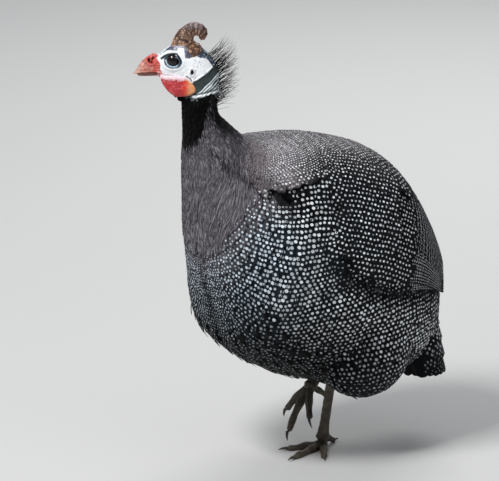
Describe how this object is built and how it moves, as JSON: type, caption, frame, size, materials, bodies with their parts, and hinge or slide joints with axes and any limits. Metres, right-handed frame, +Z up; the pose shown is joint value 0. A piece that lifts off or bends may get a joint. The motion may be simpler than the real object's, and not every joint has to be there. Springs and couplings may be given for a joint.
{
  "type": "helmeted guinea fowl",
  "caption": "Helmeted guinea fowl standing on one foot with the other lifted, feathers fluffed, head turned to its right, horny casque, red wattles and white-spotted dark plumage.",
  "frame": {"origin": "on the floor, under the middle of the bird's whole box", "axes": "-Y the way the body faces, +X to the bird's left side, +Z up"},
  "size_m": [0.2042, 0.3426, 0.4591],
  "materials": {
    "spotted_plumage": "blackish feathers with small round white spots",
    "plum_grey_plumage": "fine plain purplish-grey feathers",
    "black_neck_plumage": "short wiry black feathers",
    "pale_skin": "bare white and pale blue skin with fine folds",
    "casque_horn": "rough brown horn",
    "bill_horn": "satin red-brown horn, paler at the tip",
    "wattle_skin": "smooth moist red skin",
    "eye": "wet and glossy, dark brown",
    "leg_scales": "dark grey-brown horny scales",
    "claw_horn": "smooth dark horn"
  },
  "bodies": {
    "root": {"torso": "spotted_plumage", "neck_base": "plum_grey_plumage", "neck": "black_neck_plumage", "head": "pale_skin", "eye_left": "eye", "eye_right": "eye", "casque": "casque_horn", "bill_upper": "bill_horn", "bill_lower": "bill_horn", "wattle_left": "wattle_skin", "wattle_right": "wattle_skin", "tail": "spotted_plumage", "wing_left": "spotted_plumage", "wing_right": "spotted_plumage", "thigh_left": "spotted_plumage", "thigh_right": "spotted_plumage", "shank_left": "leg_scales", "shank_right": "leg_scales", "foot_left": "leg_scales", "foot_right": "leg_scales", "claw_left_inner": "claw_horn", "claw_left_middle": "claw_horn", "claw_left_outer": "claw_horn", "claw_left_hind": "claw_horn", "claw_right_inner": "claw_horn", "claw_right_middle": "claw_horn", "claw_right_outer": "claw_horn", "claw_right_hind": "claw_horn"}
  },
  "joints": []
}
